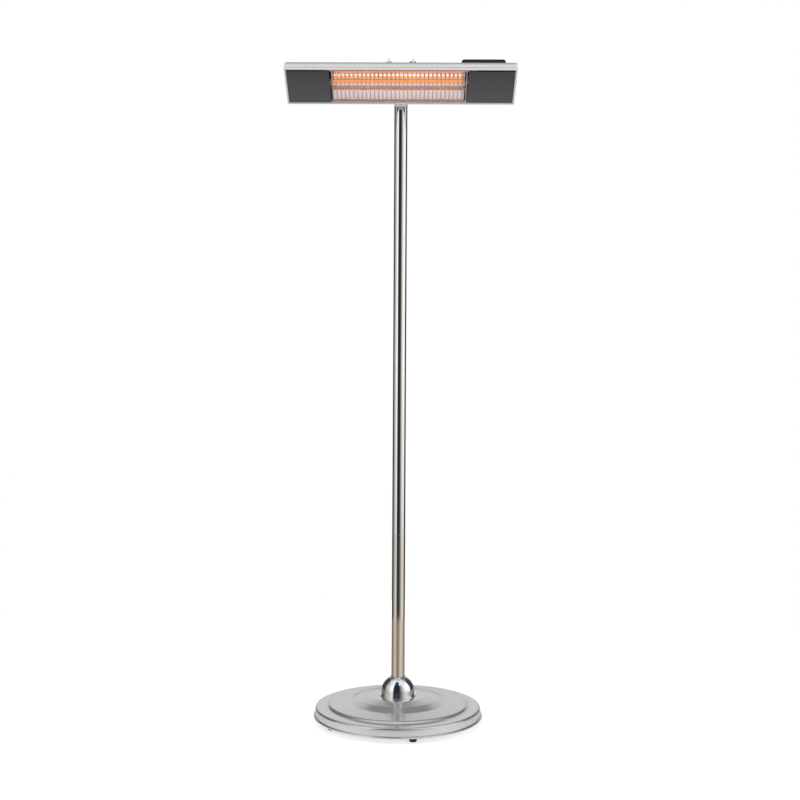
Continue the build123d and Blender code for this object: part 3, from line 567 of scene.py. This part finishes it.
def seat_of(corners, way):
    """A place and a turn that bring the origin to the end of a solid that points this way."""
    turn = Vector((0, 0, 1)).rotation_difference(way).to_matrix()
    upright = [turn.transposed() @ corner for corner in corners]
    spans = [sorted(corner[axis] for corner in upright) for axis in range(3)]
    middle = [(span[0] + span[-1]) / 2 for span in spans]
    end = Vector((middle[0], middle[1], spans[2][-1]))
    return Matrix.Translation(turn @ end) @ turn.to_4x4()


# %% Helpers for picking
flat_enough = 0.9  # of a normal that points straight up or down


def activate(piece):
    """Make a piece the only selected object and the active one."""
    bpy.ops.object.select_all(action="DESELECT")
    piece.select_set(True)
    bpy.context.view_layer.objects.active = piece


def pick_faces(piece, wanted):
    """Select the faces of the piece in edit mode that pass a test."""
    bpy.ops.mesh.select_mode(type="FACE")
    bpy.ops.mesh.select_all(action="DESELECT")
    mesh = bmesh.from_edit_mesh(piece.data)
    for face in mesh.faces:
        face.select_set(wanted(face))
    bmesh.update_edit_mesh(piece.data)


def faces_up(face):
    """Whether a face points up."""
    return face.normal.z > flat_enough


def faces_down(face):
    """Whether a face points down."""
    return face.normal.z < -flat_enough


def azimuth_of(face):
    """The angle round the Z axis at which a face stands, in degrees from straight ahead."""
    middle = face.calc_center_median()
    return -Vector((0, -1)).angle_signed(Vector((middle.x, middle.y))) * 180 / pi


# %% Helpers for modelling
def combine(piece, tool, operation):
    """Apply a boolean with a tool, and take the tool away."""
    activate(piece)
    step = piece.modifiers.new("combine", "BOOLEAN")
    step.object = tool
    step.operation = operation
    bpy.ops.object.modifier_apply(modifier=step.name)
    bpy.data.objects.remove(tool)


def round_bar(sides, radius, top, bottom):
    """A round bar on the Z axis between two heights."""
    bpy.ops.object.select_all(action="DESELECT")
    sizes = {"vertices": sides, "radius": radius, "depth": top - bottom}
    bpy.ops.mesh.primitive_cylinder_add(location=(0, 0, (top + bottom) / 2), **sizes)
    bpy.ops.object.transform_apply()
    return bpy.context.object


# %% Helpers for handing pieces in
smooth_limit = radians(30)
spin_step = radians(37)  # each copy is turned further, as screws never line up


def hand_in(piece, name, finish, body):
    """Dress a finished piece and let it stand for a CAD node."""
    activate(piece)
    bpy.ops.object.shade_smooth_by_angle(angle=smooth_limit)
    piece.name = f"{name}_modelled"
    piece.data.materials.clear()
    piece.data.materials.append(finish)
    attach(piece, body)
    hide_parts(name)
    print(piece.name, len(piece.data.polygons), "faces")


def stand_in(piece, name, way_of, finish, body):
    """Put a copy of a piece on the seat of each solid of a CAD node, each at its own angle."""
    copies = []
    for solid in solids_of(name):
        activate(piece)
        bpy.ops.object.duplicate()
        copy = bpy.context.object
        spin = Matrix.Rotation(spin_step * len(copies), 4, "Z")
        copy.matrix_world = seat_of(solid, way_of(solid)) @ spin
        bpy.ops.object.transform_apply()
        copies.append(copy)
    for copy in copies:
        copy.select_set(True)
    if len(copies) > 1:
        bpy.ops.object.join()
    bpy.data.objects.remove(piece)
    hand_in(bpy.context.object, name, finish, body)


# %% [markdown]
# A screw starts as a cone, which is a plain round head where both radii are equal. The
# face under the head is inset and drawn out to a shank with a small chamfer at its tip.
# The rim on top is bevelled, and two blocks cut the cross recess. A countersunk screw
# is the same with a head that narrows to the shank, so its inset is left out.

# %% Model a screw with a cross recess
screw_sides = 40
tip_share = 0.7  # of the shank's width
recess_length = 1.1  # of the head's radius
recess_width = 0.26  # of the head's radius
recess_height = 1.1  # of the head's height, half of it above the head


def model_screw(top, under, head, shank, length):
    """A screw that hangs down from the origin."""
    countersunk = under == shank
    bpy.ops.object.select_all(action="DESELECT")
    sizes = {"vertices": screw_sides, "radius1": under, "radius2": top, "depth": head}
    bpy.ops.mesh.primitive_cone_add(location=(0, 0, -head / 2), **sizes)
    screw = bpy.context.object
    bpy.ops.object.transform_apply()
    bpy.ops.object.mode_set(mode="EDIT")
    pick_faces(screw, faces_down)
    if not countersunk:
        bpy.ops.mesh.inset(thickness=under - shank)
    tip = shank / 2
    for drop in (head - length + tip, -tip):
        bpy.ops.mesh.extrude_region_move(TRANSFORM_OT_translate={"value": (0, 0, drop)})
    bpy.ops.transform.resize(value=(tip_share, tip_share, 1), center_override=(0, 0, -length))
    pick_faces(screw, faces_up)
    bpy.ops.mesh.bevel(offset=0.12 * head if countersunk else 0.5 * head, segments=3)
    bpy.ops.object.mode_set(mode="OBJECT")
    arms = (recess_length * top, recess_width * top, recess_height * head)
    for turn in (0, pi / 2):
        bpy.ops.mesh.primitive_cube_add(size=1, rotation=(0, 0, turn), scale=arms)
        combine(screw, bpy.context.object, "DIFFERENCE")
    return screw


# %% Screws in their places
screw_head_radius = 0.0032
screw_head = 0.0018
screw_radius = 0.0016
m5_head_radius = 0.0045
m5_head = 0.0030
m5_radius = 0.0025
to_back = always(head_back)
to_front = always(Vector((0, -1, 0)))


def screws_for(name, way_of, body, top, under, head, shank):
    """Model the screw that fits a node's solids, and let copies of it replace them."""
    first = solids_of(name)[0]
    screw = model_screw(top, under, head, shank, length_of(first, way_of(first)))
    stand_in(screw, name, way_of, zinc_finish, body)


small_screw = (screw_head_radius, screw_head_radius, screw_head, screw_radius)
sunk_screw = (screw_head_radius, screw_radius, screw_head, screw_radius)
m5_screw = (m5_head_radius, m5_head_radius, m5_head, m5_radius)
screws_for("head_bracket_screws", to_back, "head", *small_screw)
screws_for("box_screws", to_back, "head", *small_screw)
screws_for("end_cap_screws", outward, "head", *sunk_screw)
screws_for("bracket_bolts", to_front, "stand", *m5_screw)

# %% [markdown]
# A hexagon is pressed from a bar and then turned, which takes its corners off in a
# cone. The same happens here: a six-sided bar is intersected with a round blank whose
# rims are bevelled. A bolt then gets a shank, and a nut a bore.

# %% Model a hexagon
blank_sides = 48
blank_share = 1.02  # of the hexagon's corner radius
turned_share = 0.10  # of the width across flats
bore_sides = 32


def model_hexagon(across, height):
    """A hexagon that hangs down from the origin, with its corners turned off."""
    corner = across / 2 / cos(radians(30))
    hexagon = round_bar(6, corner, 0, -height)
    blank = round_bar(blank_sides, blank_share * corner, 0, -height)
    bpy.ops.object.mode_set(mode="EDIT")
    pick_faces(blank, lambda face: faces_up(face) or faces_down(face))
    bpy.ops.mesh.bevel(offset=turned_share * across, segments=1)
    bpy.ops.object.mode_set(mode="OBJECT")
    combine(hexagon, blank, "INTERSECT")
    return hexagon


# %% Nuts
m8_across = 0.0130
m8_nut = 0.0065
m8_radius = 0.0040
m5_across = 0.0080
m5_nut = 0.0047


def nuts_for(name, way_of, across, height, radius):
    """Model a nut, and let copies of it replace a node of the stand."""
    nut = model_hexagon(across, height)
    combine(nut, round_bar(bore_sides, radius, height, -2 * height), "DIFFERENCE")
    stand_in(nut, name, way_of, zinc_finish, "stand")


nuts_for("tilt_nuts", outward, m8_across, m8_nut, m8_radius)
nuts_for("bracket_nuts", always(Vector((0, 1, 0))), m5_across, m5_nut, m5_radius)

# %% Tilt bolts
m8_head = 0.0053
shank_chamfer = 0.2 * m8_radius

tilt_bolt = model_hexagon(m8_across, m8_head)
tilt_solid = solids_of("tilt_bolts")[0]
tilt_length = length_of(tilt_solid, outward(tilt_solid))
tilt_shank = round_bar(bore_sides, m8_radius, -m8_head / 2, -tilt_length)
bpy.ops.object.mode_set(mode="EDIT")
pick_faces(tilt_shank, faces_down)
bpy.ops.mesh.bevel(offset=shank_chamfer, segments=1)
bpy.ops.object.mode_set(mode="OBJECT")
combine(tilt_bolt, tilt_shank, "UNION")
stand_in(tilt_bolt, "tilt_bolts", outward, zinc_finish, "stand")

# %% [markdown]
# The gland's cap is turned by hand, so it has grip ribs. A cone is cut across, and
# every second face of its wide part is drawn out a little. A bar then bores it. Ribs
# could be a relief in the material, but then the cap's outline would stay round.

# %% Gland cap with grip ribs
gland_radius = 0.0080
gland_mouth = 0.0040
gland_wall = 0.0020
gland_rib = 0.0006
gland_sides = 36
grip_start = 0.35  # of the cap's length
to_left = always(Vector((-1, 0, 0)))
cap_solid = solids_of("gland_cap")[0]
cap_length = length_of(cap_solid, to_left(cap_solid))
grip_top = -grip_start * cap_length
inner_radius = gland_radius - gland_rib

bpy.ops.object.select_all(action="DESELECT")
sizes = {"radius1": inner_radius, "radius2": gland_mouth + gland_wall, "depth": cap_length}
bpy.ops.mesh.primitive_cone_add(vertices=gland_sides, location=(0, 0, -cap_length / 2), **sizes)
gland_cap = bpy.context.object
bpy.ops.object.transform_apply()
bpy.ops.object.mode_set(mode="EDIT")
bpy.ops.mesh.select_all(action="SELECT")
bpy.ops.mesh.bisect(plane_co=(0, 0, grip_top), plane_no=(0, 0, 1))


def is_rib(face):
    """Every second side face of the wide part."""
    wide = face.calc_center_median().z < grip_top and abs(face.normal.z) < flat_enough
    return wide and int((azimuth_of(face) + 180) * gland_sides / 360) % 2 == 0


pick_faces(gland_cap, is_rib)
bpy.ops.mesh.extrude_region_move()
grow = gland_radius / inner_radius
bpy.ops.transform.resize(value=(grow, grow, 1), center_override=(0, 0, 0))
pick_faces(gland_cap, faces_up)
bpy.ops.mesh.bevel(offset=gland_wall / 3, segments=3)
bpy.ops.object.mode_set(mode="OBJECT")
combine(gland_cap, round_bar(bore_sides, gland_mouth, cap_length, -2 * cap_length), "DIFFERENCE")
stand_in(gland_cap, "gland_cap", to_left, plastic_finish, "head")

# %% [markdown]
# The heating element is a coil of resistance wire. A small six-sided ring is the
# wire's section, and the Screw modifier winds it round the lamp's axis. Its open ends
# are then filled. A curve with a thickness would look the same, but the modifier gives
# a mesh at once, with as few faces as such thin wire needs.

# %% Heating coil
coil_radius = 0.0026
wire_radius = 0.0005
wire_sides = 6
coil_pitch = 0.0026
turn_steps = 10
coil_low, coil_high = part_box("lamp_filament")
coil_turns = int((coil_high.x - coil_low.x) / coil_pitch) - 1

bpy.ops.object.select_all(action="DESELECT")
wire_place = (0, coil_radius, 0)
bpy.ops.mesh.primitive_circle_add(vertices=wire_sides, radius=wire_radius, location=wire_place)
coil = bpy.context.object
bpy.ops.object.transform_apply()
winding = coil.modifiers.new("winding", "SCREW")
winding.axis = "X"
winding.screw_offset = coil_pitch
winding.iterations = coil_turns
winding.steps = winding.render_steps = turn_steps
bpy.ops.object.modifier_apply(modifier=winding.name)
bpy.ops.object.mode_set(mode="EDIT")
bpy.ops.mesh.select_all(action="SELECT")
bpy.ops.mesh.fill_holes(sides=wire_sides)
bpy.ops.mesh.normals_make_consistent(inside=False)
bpy.ops.object.mode_set(mode="OBJECT")
coil_middle = (coil_low + coil_high) / 2
coil.location = (coil_low.x + coil_pitch, coil_middle.y, coil_middle.z)
bpy.ops.object.transform_apply()
hand_in(coil, "lamp_filament", element_finish, "head")

# %% [markdown]
# ## Floor and light
# The photograph stands on plain white. The floor is a pale disc that still takes the
# heater's shadow. Camera rays and reflections get a little light of its own from it,
# more towards its rim, so that it runs into the white of the background. More lamps
# would whiten it as well, but they would wash out the heater too. The world is done in
# the same way: it looks white, and lights the heater with half of that.

# %% Floor
floor_radius = 2.0
floor_sides = 96

bpy.ops.object.select_all(action="DESELECT")
floor_shape = {"vertices": floor_sides, "radius": floor_radius, "fill_type": "NGON"}
bpy.ops.mesh.primitive_circle_add(**floor_shape)
floor = bpy.context.object
floor.name = "studio_floor"
floor_finish, shader = start_finish("pale_floor", Roughness=0.9, Specular_IOR_Level=0.0)
tones(floor_finish, shader, grain(floor_finish, 0.3), (0.80, 0.80, 0.80), (0.82, 0.82, 0.82))
floor.data.materials.append(floor_finish)
floor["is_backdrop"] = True
print("floor", floor_radius, "m")

# %% Light of the floor's own
glow_near = (0.3, 0.52)  # distance from the pole, and strength
glow_far = (floor_radius, 0.80)


def seen_rays(owner):
    """1 for rays from the camera, off a mirror or through glass, and 0 for all others."""
    rays = add_node(owner, "ShaderNodeLightPath", {}).outputs
    seen = calculate(owner, "MAXIMUM", rays["Is Camera Ray"], rays["Is Glossy Ray"])
    return calculate(owner, "MAXIMUM", seen, rays["Is Transmission Ray"])


floor_glow = ease(floor_finish, from_axis(floor_finish), glow_near, glow_far)
lift = calculate(floor_finish, "MULTIPLY", seen_rays(floor_finish), floor_glow)
shader.inputs["Emission Color"].default_value = (1, 1, 1, 1)
into_shader(floor_finish, shader, "Emission Strength", lift)
print("floor lifted by", glow_near[1], "to", glow_far[1])

# %% World
world_light = 0.5  # what the world gives to the surfaces
world_white = 1.0  # how bright it looks

world = bpy.data.worlds.new("studio")
scene.world = world
world.use_nodes = True
background = world.node_tree.nodes["Background"]
background.inputs["Color"].default_value = (1, 1, 1, 1)
strength = ease(world, seen_rays(world), (0, world_light), (1, world_white))
world.node_tree.links.new(strength, background.inputs["Strength"])
print("world", world.name)

# %% [markdown]
# The light comes from two large soft boxes, left and right of the camera, and one
# overhead. They stay out of the mirrors, which get a studio of their own below.

# %% Soft boxes
aim = Vector((0, 0, 1.0))


def soft_box(name, azimuth, distance, height, width, tall, power):
    """An area lamp that stands round the heater and faces it."""
    turn = radians(azimuth)
    place = Vector((distance * sin(turn), -distance * cos(turn), height))
    facing_aim = (aim - place).to_track_quat("-Z", "Y").to_euler()
    bpy.ops.object.light_add(type="AREA", location=place, rotation=facing_aim)
    lamp = bpy.context.object
    lamp.name = name
    lamp.data.shape = "RECTANGLE"
    lamp.data.size = width
    lamp.data.size_y = tall
    lamp.data.energy = power
    lamp.visible_glossy = False
    print(name, power, "W")


soft_box("left_box", azimuth=-62, distance=3.2, height=1.6, width=2.6, tall=3.4, power=38)
soft_box("right_box", azimuth=55, distance=3.2, height=1.6, width=3.4, tall=3.4, power=46)
soft_box("top_box", azimuth=0, distance=0.3, height=4.2, width=2.4, tall=2.4, power=17)

# %% [markdown]
# A mirror needs something to show. A round wall stands about the set, with bright and
# black parts that fade into each other: the pole and the dome turn them into stripes.
# A ceiling that darkens towards the back shades the head's top edge, and a black strip
# hangs over the camera. On the floor lie two rings, the inner one tan, because the
# lowest part of the photographed pole looks tan. Only reflections see these cards. A
# photograph of a room could light the set as well, but cards can be placed one by one.

# %% Helpers for the cards
def card(name, finish):
    """Name the new card, dress it, and show it to reflections and to nothing else."""
    made = bpy.context.object
    bpy.ops.object.transform_apply()
    made.name = name
    made.data.materials.append(finish)
    made.visible_camera = False
    made.visible_diffuse = False
    made.visible_shadow = False
    made.visible_transmission = False
    made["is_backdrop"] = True
    print(name, len(made.data.polygons), "faces")


def card_finish(name, colour=(1, 1, 1)):
    """A dull card with the light of its own that a reflection shows."""
    dull_card = {"Roughness": 1.0, "Specular_IOR_Level": 0.0, "Emission_Strength": 1.0}
    finish, shader = start_finish(name, **dull_card)
    shader.inputs["Base Color"].default_value = (0, 0, 0, 1)
    shader.inputs["Emission Color"].default_value = (*colour, 1)
    return finish, shader


# %% Cards whose light changes
def axes_of(finish):
    """The piece's own coordinates, one by one."""
    return add_node(finish, "ShaderNodeSeparateXYZ", {"Vector": own_place(finish)}).outputs


def shade_along(finish, shader, axis, start, end):
    """Let a card's light change along an axis, from one (place, strength) to another."""
    strength = ease(finish, axes_of(finish)[axis], start, end)
    into_shader(finish, shader, "Emission Strength", strength)


def shades_round(finish, stops):
    """A colour that changes round the pole, as (degrees, level, warmth) stops."""
    place = axes_of(finish)
    front = calculate(finish, "MULTIPLY", place["Y"], -1.0)
    turn = calculate(finish, "ARCTAN2", place["X"], front)
    ramp = add_node(finish, "ShaderNodeValToRGB", {"Fac": ease(finish, turn, (-pi, 0), (pi, 1))})
    ends = ramp.color_ramp.elements
    ends.remove(ends[1])
    for index, (degrees, level, warmth) in enumerate(stops):
        position = (degrees + 180) / 360
        stop = ends[0] if index == 0 else ends.new(position)
        stop.position = position
        stop.color = (level, level * (1 - warmth / 2), level * (1 - warmth), 1)
    return ramp.outputs["Color"]


# %% Round wall
wall_distance = 4.6
wall_top = 5.0
wall_sides = 90
wall_low = (0.0, 1.05)  # height, and how bright the wall is there
wall_high = (1.2, 1.4)
wall_stops = [
    (-180, 0.64, 0.02), (-156, 0.60, 0.02), (-150, 0.05, -0.2), (-107, 0.04, -0.2),
    (-98, 0.32, 0.14), (-70, 0.62, 0.10), (-50, 0.96, 0.02), (-36, 1.0, 0.0),
    (-31, 0.02, -0.3), (11, 0.02, -0.3), (18, 0.13, 0.08), (38, 0.56, 0.10),
    (56, 0.92, 0.04), (95, 1.0, 0.0), (102, 0.04, -0.2), (148, 0.05, -0.2),
    (155, 0.54, 0.02), (180, 0.64, 0.02),
]

bpy.ops.object.select_all(action="DESELECT")
wall_shape = {"vertices": wall_sides, "radius": wall_distance, "depth": wall_top}
wall_shape.update({"end_fill_type": "NOTHING", "location": (0, 0, wall_top / 2)})
bpy.ops.mesh.primitive_cylinder_add(**wall_shape)
wall_finish, shader = card_finish("wall_card")
into_shader(wall_finish, shader, "Emission Color", shades_round(wall_finish, wall_stops))
shade_along(wall_finish, shader, "Z", wall_low, wall_high)
card("round_wall", wall_finish)

# %% Ceiling and back shade
ceiling_height = 4.2
ceiling_width = 7.0
ceiling_ends = (-1.0, 4.5)  # places along Y
ceiling_front = (-0.7, 1.15)  # place along Y, and how bright the ceiling is there
ceiling_back = (1.6, 0.2)
shade_width = 3.4
shade_aside = 0.3
shade_behind = 4.3
shade_bottom = (2.5, 0.8)  # place along Z, and how bright the back is there
shade_top = (3.5, 0.18)


def flat_card(name, middle, width, length, turn, axis, start, end):
    """A plane whose light changes from one (place, strength) to another."""
    bpy.ops.object.select_all(action="DESELECT")
    bpy.ops.mesh.primitive_plane_add(size=1, location=middle, rotation=(turn, 0, 0))
    bpy.context.object.scale = (width, length, 1)
    finish, shader = card_finish(name + "_card")
    shade_along(finish, shader, axis, start, end)
    card(name, finish)


ceiling_middle = (0, sum(ceiling_ends) / 2, ceiling_height)
ceiling_size = (ceiling_width, ceiling_ends[1] - ceiling_ends[0])
flat_card("shaded_ceiling", ceiling_middle, *ceiling_size, 0, "Y", ceiling_front, ceiling_back)
shade_middle = (shade_aside, shade_behind, (shade_bottom[0] + ceiling_height) / 2)
shade_size = (shade_width, ceiling_height - shade_bottom[0])
flat_card("back_shade", shade_middle, *shade_size, pi / 2, "Z", shade_bottom, shade_top)

# %% [markdown]
# The pole's foot mirrors the floor at a shallow angle, and there the floor looks tan.
# Whatever mirrors it steeply, as the head does because it faces down, should show it
# pale. A ray that runs almost along the floor is about as long as its way from the
# pole, and a steep one is longer, so the rings compare the ray's length with their
# distance from the pole.

# %% A flat ring
ring_sides = 180


def flat_ring(inside, outside, height, turns=(-180, 180)):
    """A flat ring about the pole's axis, or the part of it between two angles."""
    bpy.ops.object.select_all(action="DESELECT")
    bpy.ops.mesh.primitive_circle_add(vertices=ring_sides, radius=inside, location=(0, 0, height))
    bpy.ops.object.mode_set(mode="EDIT")
    bpy.ops.mesh.extrude_edges_move()
    grow = outside / inside
    bpy.ops.transform.resize(value=(grow, grow, 1), center_override=(0, 0, height))
    pick_faces(bpy.context.object, lambda face: not turns[0] <= azimuth_of(face) <= turns[1])
    bpy.ops.mesh.delete(type="FACE")
    bpy.ops.object.mode_set(mode="OBJECT")


# %% Rings on the floor
ring_inside = 0.26
ring_outside = 1.58
ring_lift = 0.002
tan_start = (0.40, 0.50)  # the tan sets in over this distance from the pole
steepness = (0.10, 0.30)  # a ray longer than its way along the floor by this much is steep
steep_stops = [
    (-180, 0.72, 0.0), (-120, 0.50, 0.0), (-75, 0.92, 0.0), (-48, 1.15, 0.0),
    (48, 1.15, 0.0), (75, 0.92, 0.0), (120, 0.50, 0.0), (180, 0.72, 0.0),
]
ring_stops = [
    (-180, 0.22, 0.36), (-102, 0.28, 0.38), (-88, 0.58, 0.30), (-36, 0.80, 0.24),
    (-28, 0.36, 0.42), (10, 0.36, 0.42), (20, 0.62, 0.30), (50, 0.90, 0.20),
    (86, 0.60, 0.24), (98, 0.36, 0.28), (180, 0.24, 0.30),
]
far_level = 0.95  # beyond the ring the floor takes after the wall, a little warmer
far_warmth = 0.08
darkest = 0.05
far_stops = [
    (turn, max(level * far_level, darkest), warmth + far_warmth)
    for turn, level, warmth in wall_stops
]


def floor_card(name, inside, outside, stops):
    """A ring on the floor that a steep reflection sees paler than a shallow one."""
    flat_ring(inside, outside, ring_lift)
    finish, shader = card_finish(name + "_card")
    pale = shades_round(finish, steep_stops)
    own = shades_round(finish, stops)
    radius = from_axis(finish)
    length = add_node(finish, "ShaderNodeLightPath", {}).outputs["Ray Length"]
    longer = calculate(finish, "SUBTRACT", length, radius)
    shallow = ease(finish, longer, (steepness[1], 0), (steepness[0], 1))
    outer = ease(finish, radius, (tan_start[0], 0), (tan_start[1], 1))
    share = all_of(finish, outer, shallow)
    into_shader(finish, shader, "Emission Color", mixed(finish, share, pale, own))
    card(name, finish)


floor_card("tan_ring", ring_inside, ring_outside, ring_stops)
floor_card("far_ring", ring_outside, wall_distance, far_stops)

# %% Strip over the camera
strip_inside = 0.9
strip_turns = (-31, 12)
strip_black = (0.04, 0.043, 0.05)

flat_ring(strip_inside, wall_distance, wall_top, strip_turns)
card("camera_strip", card_finish("strip_card", strip_black)[0])

# %% [markdown]
# ## The two boxes
# The boxes of the imported model and of the dressed heater are both printed. The
# dressed heater has to stay inside the box of the imported model.

# %% Sizes and the end
sizes = {"cad": [list(corner) for corner in cad_box], "visual": [list(corner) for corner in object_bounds()]}
print(sizes)
